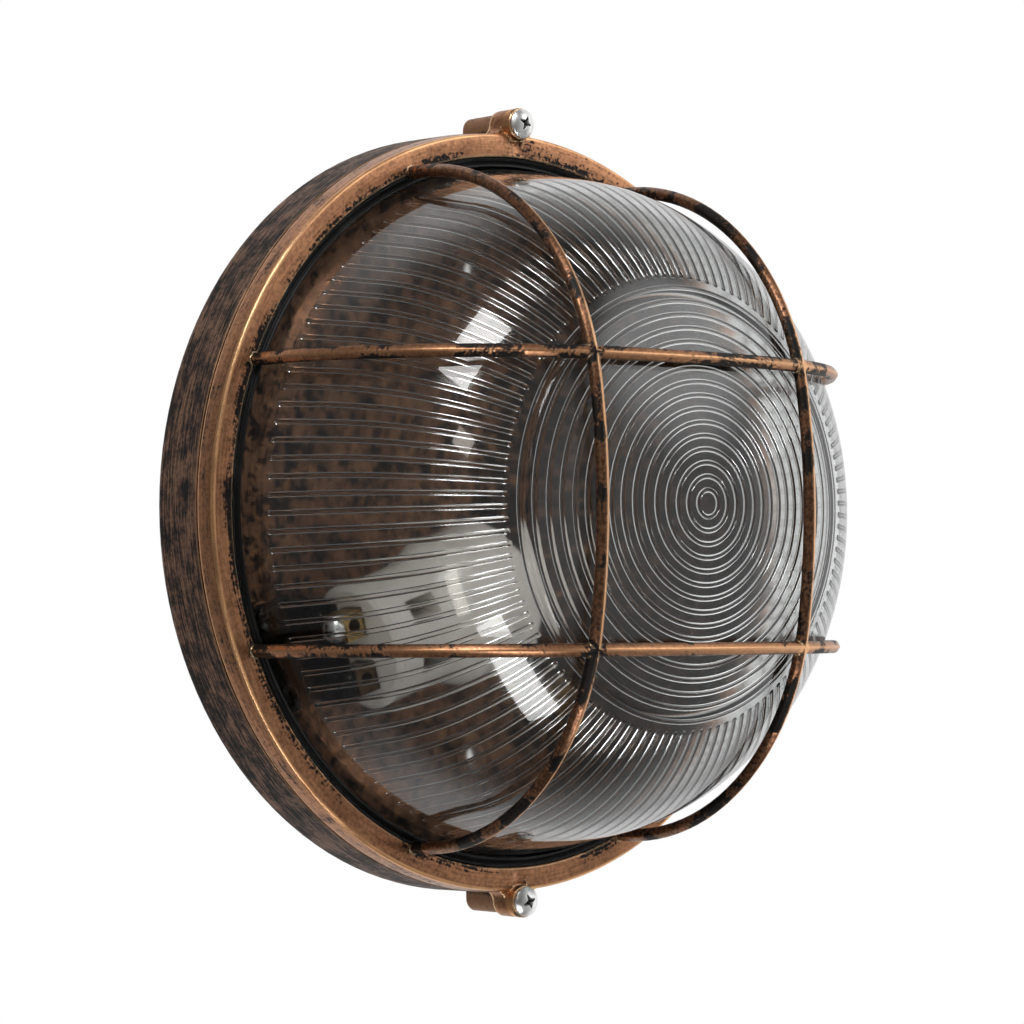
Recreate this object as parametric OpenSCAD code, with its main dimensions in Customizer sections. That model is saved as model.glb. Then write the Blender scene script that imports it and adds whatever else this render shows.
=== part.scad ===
// Round bulkhead light: a cast pan, a caged guard over a pressed glass dome, and a porcelain lampholder
// Drawn face up on the wall plane and then stood upright, so that +Z is up and the light faces -Y

/* [Glass] */
// Outer radius of the glass where it comes through the guard
glass_r = 82.4; // [76:0.2:90]
// Height of the dome above the guard's face
glass_h = 66.4; // [60:0.2:72]
// Thickness of the glass
glass_t = 3; // [2:0.1:4]
// Height of the straight wall above the guard's face
glass_wall_h = 22; // [14:1:28]
// Draft of the straight wall in degrees
glass_draft = 11.6; // [8:0.2:14]
// Radius of the shallow cap at the front of the dome
cap_r = 167; // [130:1:220]
// How far the rim flange stands out from the wall
flange_w = 3.8; // [3:0.1:5]
// Thickness of the rim flange
flange_t = 3.5; // [2.5:0.1:5]
// Number of ribs round the inside of the wall
rib_count = 120; // [60:4:140]
// Width of a rib
rib_w = 1.3; // [0.8:0.1:1.8]
// How far ribs and rings stand in from the glass
rib_h = 0.8; // [0.5:0.1:1.2]
// Height above the guard's face where the ribs begin
rib_start = 5.5; // [3:0.5:10]
// Number of concentric rings on the cap
ring_count = 16; // [8:1:16]
// Distance from ring to ring
ring_pitch = 3.05; // [2.6:0.05:3.2]
// Width of a ring
ring_w = 1.4; // [0.8:0.1:2]
// Plain band between the last ring and the ends of the ribs
plain_band = 3; // [2:0.5:6]

/* [Gasket] */
// Width of the black lip that shows round the glass
gasket_lip = 2.6; // [1.5:0.1:4]
// Thickness of the rubber below and outside the flange
gasket_t = 1.6; // [1:0.1:2.5]

/* [Guard] */
// Width of the guard's front face
guard_face = 6.1; // [5:0.1:9]
// Thickness of the guard's front lip
guard_lip_t = 2.6; // [2:0.1:4]
// Depth of the guard's ring from its face to the parting line
guard_depth = 5.4; // [4.5:0.1:6.5]
// Taper of the ring's side over its depth
guard_taper = 0.6; // [0:0.1:1.5]
// Rounding of the ring's front edge
guard_edge = 0.9; // [0.3:0.1:1.5]
// Distance between the ridges of two parallel bars
bar_spacing = 65.6; // [50:0.2:80]
// Width of a bar
bar_w = 3; // [2.4:0.1:5]
// Depth of a bar
bar_d = 3.3; // [2.6:0.1:5]
// Share of a bar's depth that its flat sides take
bar_side = 0.4; // [0.2:0.05:0.6]
// How far a bar's ridge stands out from the ring's inner edge
bar_foot = 1.8; // [1:0.1:3]
// Height of a bar's straight leg above the guard's face
bar_leg = 3; // [1:0.5:8]
// Rise of the crown of a bar above its shoulders
bar_crown = 1.4; // [0.6:0.1:4]
// How far the crown of a bar stands above the glass
bar_rise = 0.3; // [0.1:0.1:2]

/* [Cover screws] */
// How far the cover screws stand out from the guard's ring
lug_reach = 1.9; // [1:0.1:5]
// Radius of the guard's screw lugs
lug_r = 3.9; // [3.4:0.1:6]
// How far a lug stands above the guard's face
lug_proud = 1.9; // [1:0.1:4]
// Radius of the pan's screw bosses
boss_r = 3.2; // [2.9:0.1:5]
// Height of the pan's screw bosses
boss_h = 10.3; // [8:0.1:14]
// Radius of the cover screws' shanks
cover_shank_r = 1.75; // [1.5:0.05:2]
// Radius of the cover screws' heads
cover_head_r = 3.5; // [3:0.1:4.5]
// Height of the cover screws' heads
cover_head_h = 2; // [1.6:0.1:3]

/* [Base pan] */
// How far the pan stands out past the guard's ring
base_flare = 0.2; // [0:0.1:3]
// Height of the pan from the wall to the parting line
base_h = 15.3; // [14:0.1:25]
// Thickness of the cast walls
cast_wall = 3; // [2.5:0.1:4]
// Rounding of the pan's back edge
base_round = 2.5; // [1:0.1:2.5]
// Distance between the two wall screw holes
wall_spacing = 120; // [90:1:130]
// Radius of the wall screw holes
wall_hole_r = 2.75; // [2:0.05:4]

/* [Lampholder] */
// How far the lampholder's back stands in from the side of the glass
holder_in = 27.4; // [26.8:0.1:32]
// How far the lampholder's back lies below the middle
holder_low = 32; // [28:0.5:32.5]
// Height of the lampholder's axis above the wall
holder_z = 28; // [27:0.5:31]
// Slope of the lampholder's axis in degrees
holder_tilt = 17.5; // [12:0.5:20]
// Length of the porcelain
holder_l = 42; // [40:0.5:48]
// Radius of the porcelain's back block
holder_back_r = 14.5; // [14:0.1:16]
// Radius of the porcelain round the socket
holder_mouth_r = 17.6; // [17:0.1:19]
// Length of the flare between the two
flare_l = 8; // [6:0.5:10]
// Wall radius of the screw shell, for a 27 mm lamp cap
shell_r = 13.4; // [13.2:0.05:13.6]
// Thickness of the shell's sheet
shell_t = 0.6; // [0.4:0.1:0.8]
// Length of the shell
shell_l = 18; // [16:0.5:19]
// Thickness of the bracket's sheet
bracket_t = 1.5; // [1:0.1:2.5]

/* [Cable entry and earth] */
// Radius of the cable hole through the grommet
cable_r = 4; // [3:0.1:5]
// Sideways place of the cable entry
cable_x = 0; // [-3:0.5:3]
// How far the cable entry lies below the middle
cable_low = 22; // [18:0.5:26]
// Sideways place of the earth terminal
earth_x = 25; // [20:0.5:30]
// How far the earth terminal lies below the middle
earth_low = 45; // [40:0.5:50]

/* [Hidden] */
$fn = 96;

copper = [0.55, 0.33, 0.2];
steel = [0.75, 0.75, 0.77];
brass = [0.78, 0.6, 0.3];
rubber = [0.05, 0.05, 0.05];
porcelain = [0.9, 0.89, 0.86];
glass = [0.8, 0.88, 0.9, 0.35];

// Gap between pieces that part from each other
gap = 0.3;
// Gap between pieces that stay together
seat = 0.2;
// Gap between pieces that are pressed together
touch = 0.05;
// Overlap that joins the solids of one piece
bite = 0.3;
// How far a cutting solid runs past the face it cuts
over = 1;
// Thickness left under a blind hole, and the gap below a screw's tip
blind = 1.5;
tip_gap = 0.5;

// Levels from the wall
face_z = base_h + gap + guard_depth;
lip_z = face_z - guard_lip_t;

// Radii from the wall's centre outwards
guard_in_r = glass_r + seat + gasket_lip;
guard_r = guard_in_r + guard_face;
base_r = guard_r + base_flare;
skirt_r = guard_r - cast_wall + seat;
lug_y = guard_r + lug_reach;

// Web of a lug, and the vee that the ring has before it
lug_web = 1.6;
vee_start = 0.7;
vee_rise = 1.8;
vee_in_r = 2;
vee_out_r = 3.3;

// Rim of the glass in its gasket, measured from the guard's face
flange_top = -guard_lip_t - gasket_t / 2;
flange_low = flange_top - flange_t;
flange_r = glass_r + flange_w;
gasket_low = flange_low - gasket_t;
gasket_r = skirt_r - gap;
ledge_z = face_z + gasket_low - gap;
pan_inset = 0.6;
pan_r = glass_r - pan_inset;
pan_draft = 1;
wall_boss = 1.5;

// Curves of the dome: wall, shoulder and cap run into each other
wall_top = [glass_r - glass_wall_h * tan(glass_draft), glass_wall_h];
wall_out = [cos(glass_draft), sin(glass_draft)];
cap_c = [0, glass_h - cap_r];
cap_to_wall = wall_top - cap_c;
shoulder_r = (cap_r ^ 2 - cap_to_wall * cap_to_wall) / (2 * (cap_r - cap_to_wall * wall_out));
shoulder_c = wall_top - shoulder_r * wall_out;
cap_half = atan2(shoulder_c[0] - cap_c[0], shoulder_c[1] - cap_c[1]);
shoulder_steps = 14;
cap_steps = 6;
rib_steps = 7;
ring_zone_r = ring_count * ring_pitch + ring_w;
rib_end_r = ring_zone_r + plain_band;

// Arch of a bar: leg, shoulder and crown run into each other
bar_at = bar_spacing / 2;
arch_h = glass_h + bar_rise;
arch_leg = sqrt(guard_in_r ^ 2 - bar_at ^ 2) + bar_foot;
arch_r = arch_h - bar_leg - bar_crown;
arch_c = arch_leg - arch_r;
crown_drop = (arch_c ^ 2 + bar_leg ^ 2 - (bar_leg + bar_crown) ^ 2) / (2 * bar_crown);
crown_r = arch_h + crown_drop;
crown_half = atan2(arch_c, crown_drop + bar_leg);
// Degrees that a shoulder runs into its leg and crown, which are that much wider there
joint_lap = 0.5;
joint_lip = 0.03;

// Lampholder: its place, and levels along its axis from the porcelain's back
holder_x = holder_in - glass_r;
holder_y = -holder_low;
shell_in = 1;
floor_x = holder_l - shell_in - shell_l;
shell_out_r = shell_r + shell_t;
socket_r = shell_out_r + seat;
neck_l = 6;
neck_step = 0.8;
neck_r = shell_r - neck_step;
flare_lead = 5;
flare_x = floor_x - flare_lead;
channel_back = 8;
channel_l = floor_x - channel_back;
socket_hole_l = 7;
holder_hole_l = 8;

// Terminals, sprung contact and their screws, across the axis and outwards from it
terminal_y = 6.2;
terminal_z = 1.5;
terminal_w = 6.4;
terminal_l = 8;
terminal_in = 3;
terminal_out = terminal_l - terminal_in;
terminal_head_h = 3;
terminal_shank_r = 1.2;
contact_z = -6.5;
contact_sheet = 0.6;
socket_head_r = 2.6;
socket_head_h = 1.6;

// Bracket and the screws that hold it
small_r = 1.5;
small_head_r = 3;
small_head_h = 2;
bracket_half = 12;
bracket_top = -3;
foot_l = 12.5;
foot_half = 13;
foot_z = 7;
foot_hole = [-7.5, 9.5];
foot_boss_r = 4;
holder_hole = [7, -9];

// Cable entry and earth terminal
cable_at = [cable_x, -cable_low];
grommet_wall = 3.5;
grommet_flange = 2;
grommet_edge = 0.8;
grommet_neck_r = cable_r + grommet_wall;
grommet_flange_r = grommet_neck_r + grommet_flange;
grommet_flange_t = 1.3;
earth_at = [earth_x, -earth_low];
earth_boss_r = 4.5;
earth_boss_h = 8;
earth_washer_r = 4.2;
earth_washer_t = 1;
earth_head_r = 3.2;
earth_head_h = 2.4;
earth_shank_r = 1.8;

function arc(c, r, from, to, steps) =
    [for (i = [0:steps]) let (a = from + (to - from) * i / steps) c + r * [cos(a), sin(a)]];
function backwards(list) = [for (i = [len(list) - 1:-1:0]) list[i]];
// Radius of the glass wall at a height, and the dome's line at a depth below its outer skin
function wall_r(z, depth) = glass_r - z * tan(glass_draft) - depth / cos(glass_draft);
function shoulder_angle(r, depth) = acos((r - shoulder_c[0]) / (shoulder_r - depth));
function shoulder_line(depth, to, steps) = arc(shoulder_c, shoulder_r - depth, glass_draft, to, steps);
function cap_join(depth) = (cap_r - depth) * sin(cap_half);
function dome_z(r, depth) = r < cap_join(depth)
    ? cap_c[1] + sqrt((cap_r - depth) ^ 2 - r ^ 2)
    : shoulder_c[1] + sqrt((shoulder_r - depth) ^ 2 - (r - shoulder_c[0]) ^ 2);
// One ring of the cap, from its inner foot to its outer foot
function ring_points(k) = [for (s = [-1, -0.5, 0, 0.5, 1])
    let (r = k * ring_pitch + s * ring_w / 2) [r, dome_z(r, glass_t + rib_h * sqrt(1 - s ^ 2))]];

// Stands a piece upright: its height above the wall becomes -Y
module stand() {
    rotate([90, 0, 0]) children();
}

// Puts a piece that is drawn along the lampholder's axis in its place
module on_holder() {
    stand() translate([holder_x, holder_y, holder_z]) rotate([0, 0, holder_tilt]) children();
}

// Lays a cylinder along the lampholder's axis
module along(x, y, z, r, l) {
    translate([x, y, z]) rotate([0, 90, 0]) cylinder(r = r, h = l);
}

module box_at(x, y, z, sx, sy, sz) {
    translate([x, y - sy / 2, z - sz / 2]) cube([sx, sy, sz]);
}

// Screw with a domed head and a cross recess: its head stands on z = 0 and its shank goes below
module pan_screw(head_r, head_h, shank_r, shank_l) {
    dome_h = 0.7 * head_h;
    recess_w = 0.28 * head_r;
    recess_l = 1.15 * head_r;
    recess_z = 0.35 * head_h;
    crown = (head_r ^ 2 + dome_h ^ 2) / (2 * dome_h);
    difference() {
        union() {
            translate([0, 0, -shank_l]) cylinder(r = shank_r, h = shank_l + bite);
            intersection() {
                cylinder(r = head_r, h = head_h);
                translate([0, 0, head_h - crown]) sphere(r = crown);
            }
        }
        for (turn = [0, 90])
            rotate([0, 0, turn])
                translate([-recess_l / 2, -recess_w / 2, recess_z]) cube([recess_l, recess_w, head_h]);
    }
}

module pan_section() {
    polygon(concat(
        [[0, 0], [pan_r + cast_wall, 0], [pan_r + cast_wall, ledge_z - cast_wall]],
        [[skirt_r, ledge_z - cast_wall], [skirt_r, 0]],
        arc([base_r - base_round, base_round], base_round, -90, 0, 6),
        [[base_r - seat, base_h], [skirt_r, base_h], [skirt_r, ledge_z], [pan_r, ledge_z]],
        [[pan_r - pan_draft, cast_wall], [0, cast_wall]]
    ));
}

// Boss that a cover screw goes into, on the pan's outside
module cover_boss() {
    translate([0, lug_y, base_h - boss_h]) {
        cylinder(r = boss_r, h = boss_h);
        translate([-boss_r, -lug_reach - boss_r / 2, 0]) cube([2 * boss_r, lug_reach + boss_r / 2, boss_h]);
    }
}

// Puts a piece at one of the two bosses under the bracket's foot
module at_foot(side) {
    translate([holder_x, holder_y, 0]) rotate([0, 0, holder_tilt])
        translate([foot_hole[0], side * foot_hole[1], 0]) children();
}

module base_pan() {
    color(copper) stand() difference() {
        union() {
            rotate_extrude() pan_section();
            cover_boss();
            mirror([0, 1, 0]) cover_boss();
            for (side = [-1, 1]) {
                translate([0, side * wall_spacing / 2, 0])
                    cylinder(r = wall_hole_r + cast_wall, h = cast_wall + wall_boss);
                at_foot(side) cylinder(r = foot_boss_r, h = foot_z);
            }
            translate(earth_at) cylinder(r = earth_boss_r, h = earth_boss_h);
        }
        for (side = [-1, 1]) {
            translate([0, side * lug_y, base_h - boss_h + blind])
                cylinder(r = cover_shank_r + gap, h = boss_h);
            translate([0, side * wall_spacing / 2, -over]) cylinder(r = wall_hole_r, h = base_h);
            at_foot(side) translate([0, 0, blind]) cylinder(r = small_r + seat, h = foot_z);
        }
        translate([cable_at[0], cable_at[1], -over]) {
            cylinder(r = grommet_neck_r + seat, h = base_h);
            cylinder(r = grommet_flange_r + seat, h = over + grommet_flange_t);
        }
        translate([earth_at[0], earth_at[1], blind]) cylinder(r = earth_shank_r + seat, h = earth_boss_h);
    }
}

module guard_section() {
    side_r = guard_r - guard_taper;
    polygon(concat(
        [[guard_in_r, lip_z], [skirt_r, lip_z], [skirt_r, base_h + gap], [guard_r, base_h + gap]],
        arc([side_r - guard_edge, face_z - guard_edge], guard_edge, 0, 90, 6),
        [[guard_in_r + guard_edge / 3, face_z], [guard_in_r, face_z - guard_edge / 3]]
    ));
}

// Six-sided section of a bar, with its outer ridge at the origin and its depth towards -X
module bar_section(grow) {
    half = bar_d / 2 + grow;
    wide = bar_w / 2 + grow;
    flat = bar_d * bar_side / 2;
    translate([-bar_d / 2, 0])
        polygon([[half, 0], [flat, wide], [-flat, wide], [-half, 0], [-flat, -wide], [flat, -wide]]);
}

// Leg and shoulder at one end of an arch in the XZ plane
module arch_end() {
    leg_from = -guard_lip_t / 2;
    translate([arch_leg, 0, leg_from]) linear_extrude(bar_leg - leg_from) bar_section(joint_lip);
    translate([arch_c, 0, bar_leg]) rotate([90, 0, 0]) rotate([0, 0, -joint_lap])
        rotate_extrude(angle = 90 - crown_half + 2 * joint_lap) translate([arch_r, 0]) bar_section(0);
}

module bar() {
    arch_end();
    mirror([1, 0, 0]) arch_end();
    translate([0, 0, -crown_drop]) rotate([90, 0, 0]) rotate([0, 0, 90 - crown_half])
        rotate_extrude(angle = 2 * crown_half) translate([crown_r, 0]) bar_section(joint_lip);
}

// Lug of the guard with its web and the vee that clears the screw's head
module lug() {
    web = lug_r + lug_web;
    root_r = guard_r - guard_edge;
    difference() {
        union() {
            translate([0, lug_y, base_h + gap]) cylinder(r = lug_r, h = guard_depth + lug_proud);
            translate([0, 0, base_h + gap]) linear_extrude(guard_depth - guard_edge)
                polygon([[-web, root_r], [web, root_r], [lug_r, lug_y], [-lug_r, lug_y]]);
        }
        translate([0, lug_y, 0]) cylinder(r = cover_shank_r + gap, h = face_z + lug_proud + over);
    }
}

module lug_vee() {
    vee_l = lug_y - lug_r - guard_in_r + over;
    translate([0, guard_in_r - vee_start, face_z + vee_rise]) rotate([-90, 0, 0])
        cylinder(r1 = vee_in_r, r2 = vee_out_r, h = vee_l);
}

module guard() {
    color(copper) stand() difference() {
        union() {
            rotate_extrude() guard_section();
            for (side = [-1, 1]) {
                translate([0, side * bar_at, face_z]) bar();
                rotate([0, 0, 90]) translate([0, side * bar_at, face_z]) bar();
            }
            lug();
            mirror([0, 1, 0]) lug();
        }
        translate([0, 0, base_h]) cylinder(r = guard_in_r, h = face_z - base_h + seat);
        lug_vee();
        mirror([0, 1, 0]) lug_vee();
    }
}

module dome_section() {
    rim_in = wall_r(flange_low, glass_t);
    polygon(concat(
        [[rim_in, flange_low], [flange_r, flange_low], [flange_r, flange_top]],
        [[wall_r(flange_top, 0), flange_top]],
        shoulder_line(0, 90 - cap_half, shoulder_steps),
        arc(cap_c, cap_r, 90 - cap_half, 90, cap_steps),
        [[0, dome_z(0, glass_t)]],
        [for (k = [1:ring_count], p = ring_points(k)) p],
        backwards(shoulder_line(glass_t, shoulder_angle(ring_zone_r, glass_t), shoulder_steps))
    ));
}

// Side view of one rib, from its start on the wall to its end below the rings
module rib_section() {
    root = glass_t - bite;
    tip = glass_t + rib_h;
    polygon(concat(
        [[wall_r(rib_start, root), rib_start]],
        shoulder_line(root, shoulder_angle(rib_end_r, root), rib_steps),
        backwards(shoulder_line(tip, shoulder_angle(rib_end_r, tip), rib_steps)),
        [[wall_r(rib_start, tip), rib_start]]
    ));
}

module glass_dome() {
    color(glass) stand() translate([0, 0, face_z]) {
        rotate_extrude() dome_section();
        for (k = [0:rib_count - 1])
            rotate([0, 0, (k + 0.5) * 360 / rib_count]) rotate([90, 0, 0])
                linear_extrude(rib_w, center = true) rib_section();
    }
}

module gasket_section() {
    rim_in = wall_r(flange_low, glass_t);
    lip_r = guard_in_r - touch;
    grip_r = flange_r + touch;
    grip_z = flange_top + touch;
    polygon([
        [rim_in, gasket_low], [gasket_r, gasket_low], [gasket_r, -guard_lip_t], [lip_r, -guard_lip_t],
        [lip_r, 0], [wall_r(0, -seat), 0], [wall_r(flange_top, -seat), grip_z], [grip_r, grip_z],
        [grip_r, flange_low], [rim_in, flange_low]
    ]);
}

module glass_gasket() {
    color(rubber) stand() translate([0, 0, face_z]) rotate_extrude() gasket_section();
}

module cover_screw(side) {
    shank_l = guard_depth + gap + lug_proud + boss_h - blind - tip_gap;
    color(steel) stand() translate([0, side * lug_y, face_z + lug_proud])
        pan_screw(cover_head_r, cover_head_h, cover_shank_r, shank_l);
}

module lampholder_body() {
    edge = 1.2;
    window_l = 8;
    window_w = 4.6;
    channel_w = terminal_w + 2 * seat;
    color(porcelain) on_holder() difference() {
        rotate([0, 90, 0]) rotate_extrude() polygon([
            [0, 0], [holder_back_r - edge, 0], [holder_back_r, edge], [holder_back_r, flare_x],
            [holder_mouth_r, flare_x + flare_l], [holder_mouth_r, holder_l - edge],
            [holder_mouth_r - edge, holder_l], [0, holder_l]
        ]);
        along(floor_x, 0, 0, socket_r, holder_l);
        for (side = [-1, 1]) {
            box_at(-over, side * terminal_y, terminal_z + seat, channel_l + over, channel_w, channel_w);
            box_at(channel_l - window_l, side * terminal_y, terminal_z + holder_back_r / 2,
                   window_l, window_w, holder_back_r);
            along(-over, side * holder_hole[0], holder_hole[1], small_r + seat, holder_hole_l + over);
        }
        for (z = [-contact_z, contact_z])
            along(floor_x - socket_hole_l, 0, z, small_r + seat, socket_hole_l + over);
    }
}

// Shell with a narrower neck, a turned-in back, and a tab there that its screw holds
module screw_shell() {
    back_hole_r = 10.2;
    tab_w = 8;
    tab_l = 4.5;
    color(brass) on_holder() translate([floor_x, 0, 0]) difference() {
        union() {
            rotate([0, 90, 0]) rotate_extrude() polygon([
                [back_hole_r, 0], [neck_r + shell_t, 0], [neck_r + shell_t, neck_l], [shell_out_r, neck_l],
                [shell_out_r, shell_l], [shell_r, shell_l], [shell_r, neck_l + shell_t],
                [neck_r, neck_l + shell_t], [neck_r, shell_t], [back_hole_r, shell_t]
            ]);
            translate([0, -tab_w / 2, -contact_z - tab_l / 2])
                cube([shell_t, tab_w, back_hole_r + contact_z + tab_l / 2 + over]);
        }
        along(-over, 0, -contact_z, small_r + seat, shell_t + 2 * over);
    }
}

// Sprung tongue that rises from its screw to the middle of the socket
module centre_contact() {
    rise = 5;
    tip = [-1, 2];
    low_z = contact_z - socket_head_r;
    bend_z = contact_z + small_head_r;
    color(brass) on_holder() difference() {
        translate([floor_x, 0, 0]) rotate([90, 0, 0]) linear_extrude(2 * socket_head_r, center = true)
            polygon([
                [0, low_z], [contact_sheet, low_z], [contact_sheet, bend_z], [rise + contact_sheet, tip[0]],
                [rise + contact_sheet, tip[1]], [rise, tip[1]], [rise, tip[0] + contact_sheet / 2],
                [0, bend_z + contact_sheet]
            ]);
        along(floor_x - over, 0, contact_z, small_r + seat, contact_sheet + 2 * over);
    }
}

// Screw into the socket's floor through a sheet, with its head towards the mouth
module socket_screw(z, sheet) {
    color(steel) on_holder() translate([floor_x + sheet, 0, z]) rotate([0, 90, 0])
        pan_screw(socket_head_r, socket_head_h, small_r, sheet + socket_hole_l - tip_gap);
}

module contact_screw() {
    socket_screw(contact_z, contact_sheet);
}

module shell_screw() {
    socket_screw(-contact_z, shell_t);
}

// Brass block that stands out of the porcelain's back, with a cable hole and a tongue into the channel
module terminal(side) {
    tongue_t = 1.2;
    tongue_l = channel_l - tip_gap;
    y = side * terminal_y;
    low_z = terminal_z - terminal_w / 2;
    color(brass) on_holder() difference() {
        union() {
            box_at(-terminal_out, y, terminal_z, terminal_l, terminal_w, terminal_w);
            box_at(0, y, low_z + tongue_t / 2, tongue_l, terminal_w, tongue_t);
        }
        translate([-terminal_out / 2, y, low_z - over]) cylinder(r = small_r, h = terminal_w + 2 * over);
        along(-terminal_out - over, y, terminal_z, terminal_shank_r + seat, terminal_out / 2 + over);
    }
}

module terminal_screw(side) {
    color(steel) on_holder() translate([-terminal_out, side * terminal_y, terminal_z]) rotate([0, -90, 0])
        pan_screw(small_head_r, terminal_head_h, terminal_shank_r, terminal_out / 2 - tip_gap);
}

module line_terminal() {
    terminal(1);
}

module neutral_terminal() {
    terminal(-1);
}

module line_terminal_screw() {
    terminal_screw(1);
}

module neutral_terminal_screw() {
    terminal_screw(-1);
}

// Bent bracket: its foot sits on two bosses of the pan and its upright behind the porcelain
module lampholder_bracket() {
    foot_low = foot_z - holder_z;
    corner = 4;
    color(steel) on_holder() difference() {
        union() {
            translate([-bracket_t, -bracket_half, foot_low])
                cube([bracket_t, 2 * bracket_half, bracket_top - foot_low]);
            translate([0, 0, foot_low]) linear_extrude(bracket_t) {
                translate([-foot_l + corner, -foot_half]) square([foot_l - corner, 2 * foot_half]);
                translate([-foot_l, -foot_half + corner]) square([foot_l, 2 * (foot_half - corner)]);
                for (side = [-1, 1])
                    translate([-foot_l + corner, side * (foot_half - corner)]) circle(r = corner);
            }
        }
        for (side = [-1, 1]) {
            translate([foot_hole[0], side * foot_hole[1], foot_low - over])
                cylinder(r = small_r + seat, h = bracket_t + 2 * over);
            along(-bracket_t - over, side * holder_hole[0], holder_hole[1],
                  small_r + seat, bracket_t + 2 * over);
        }
    }
}

module bracket_screw(side) {
    color(steel) stand() at_foot(side) translate([0, 0, foot_z + bracket_t])
        pan_screw(small_head_r, small_head_h, small_r, foot_z + bracket_t - blind - tip_gap);
}

module bracket_screw_upper() {
    bracket_screw(1);
}

module bracket_screw_lower() {
    bracket_screw(-1);
}

module lampholder_screw(side) {
    place = [-bracket_t, side * holder_hole[0], holder_hole[1]];
    color(steel) on_holder() translate(place) rotate([0, -90, 0])
        pan_screw(small_head_r, small_head_h, small_r, bracket_t + holder_hole_l - tip_gap);
}

module lampholder_screw_upper() {
    lampholder_screw(1);
}

module lampholder_screw_lower() {
    lampholder_screw(-1);
}

module cable_grommet() {
    front = cast_wall + grommet_flange_t;
    color(rubber) stand() translate([cable_at[0], cable_at[1], 0]) rotate_extrude() polygon([
        [cable_r, 0], [grommet_flange_r, 0], [grommet_flange_r, grommet_flange_t],
        [grommet_neck_r, grommet_flange_t], [grommet_neck_r, cast_wall], [grommet_flange_r, cast_wall],
        [grommet_flange_r - grommet_edge, front], [cable_r, front]
    ]);
}

module earth_washer() {
    color(brass) stand() translate([earth_at[0], earth_at[1], earth_boss_h]) difference() {
        cylinder(r = earth_washer_r, h = earth_washer_t);
        translate([0, 0, -over]) cylinder(r = earth_shank_r + seat, h = earth_washer_t + 2 * over);
    }
}

module earth_screw() {
    head_z = earth_boss_h + earth_washer_t;
    color(brass) stand() translate([earth_at[0], earth_at[1], head_z])
        pan_screw(earth_head_r, earth_head_h, earth_shank_r, head_z - blind - tip_gap);
}

module cover_screw_top() {
    cover_screw(1);
}

module cover_screw_bottom() {
    cover_screw(-1);
}

base_pan();
guard();
glass_dome();
glass_gasket();
cover_screw_top();
cover_screw_bottom();
lampholder_body();
screw_shell();
centre_contact();
contact_screw();
shell_screw();
line_terminal();
neutral_terminal();
line_terminal_screw();
neutral_terminal_screw();
lampholder_bracket();
bracket_screw_upper();
bracket_screw_lower();
lampholder_screw_upper();
lampholder_screw_lower();
cable_grommet();
earth_screw();
earth_washer();
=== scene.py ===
import math

import bpy
import numpy as np
from mathutils import Matrix, Vector


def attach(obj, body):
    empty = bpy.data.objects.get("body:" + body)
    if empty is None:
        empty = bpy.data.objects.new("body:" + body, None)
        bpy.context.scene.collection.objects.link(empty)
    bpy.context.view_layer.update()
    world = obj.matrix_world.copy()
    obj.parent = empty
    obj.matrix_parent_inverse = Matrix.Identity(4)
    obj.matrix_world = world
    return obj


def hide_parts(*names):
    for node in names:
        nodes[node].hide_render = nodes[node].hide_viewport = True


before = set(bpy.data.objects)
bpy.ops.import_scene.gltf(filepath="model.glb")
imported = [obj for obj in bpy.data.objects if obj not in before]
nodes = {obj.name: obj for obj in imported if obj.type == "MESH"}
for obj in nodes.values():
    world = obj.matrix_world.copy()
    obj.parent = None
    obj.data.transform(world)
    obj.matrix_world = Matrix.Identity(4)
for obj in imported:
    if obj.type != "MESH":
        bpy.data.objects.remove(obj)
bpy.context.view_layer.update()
wallToFace = 0.021            # guard's front face, measured from the wall
barAt = 0.0328                # bars, measured from the lamp's axis
print("frame loaded:", len(nodes), "nodes")


# Shader maths

class Wire:                   # a socket that can stand in sums
    def __init__(self, tree, socket):
        self.tree = tree
        self.socket = socket

    def node(self, kind, inputs=None, out=0, **settings):
        new = self.tree.nodes.new("ShaderNode" + kind)
        for key, value in settings.items():
            setattr(new, key, value)
        for key, value in (inputs or {}).items():
            if isinstance(value, Wire):
                self.tree.links.new(value.socket, new.inputs[key])
            else:
                new.inputs[key].default_value = value
        return Wire(self.tree, new.outputs[out])

    def maths(self, operation, a, b=0.0):
        return self.node("Math", {0: a, 1: b}, operation=operation)

    def __add__(self, other):
        return self.maths("ADD", self, other)

    def __radd__(self, other):
        return self.maths("ADD", other, self)

    def __sub__(self, other):
        return self.maths("SUBTRACT", self, other)

    def __rsub__(self, other):
        return self.maths("SUBTRACT", other, self)

    def __mul__(self, other):
        return self.maths("MULTIPLY", self, other)

    def __rmul__(self, other):
        return self.maths("MULTIPLY", other, self)

    def __truediv__(self, other):
        return self.maths("DIVIDE", self, other)

    def __pow__(self, other):
        return self.maths("POWER", self, other)

    def __abs__(self):
        return self.maths("ABSOLUTE", self)

    def fade(self, low, high):          # 0 below low, 1 above high
        return self.node("MapRange", {0: self, 1: low, 2: high, 3: 0.0, 4: 1.0}, interpolation_type="SMOOTHSTEP")

    def most(self, other):
        return self.maths("MAXIMUM", self, other)

    def blend(self, a, b):              # colours a to b by this mask
        return self.node("Mix", {0: self, 6: a, 7: b}, out=2, data_type="RGBA")

    def dot(self, other):
        return self.node("VectorMath", {0: self, 1: other}, out=1, operation="DOT_PRODUCT")

    def split(self):
        parts = self.node("SeparateXYZ", {0: self}).socket.node
        return [Wire(self.tree, parts.outputs[i]) for i in range(3)]


def colour(rgb):
    return (*rgb, 1.0)


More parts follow.
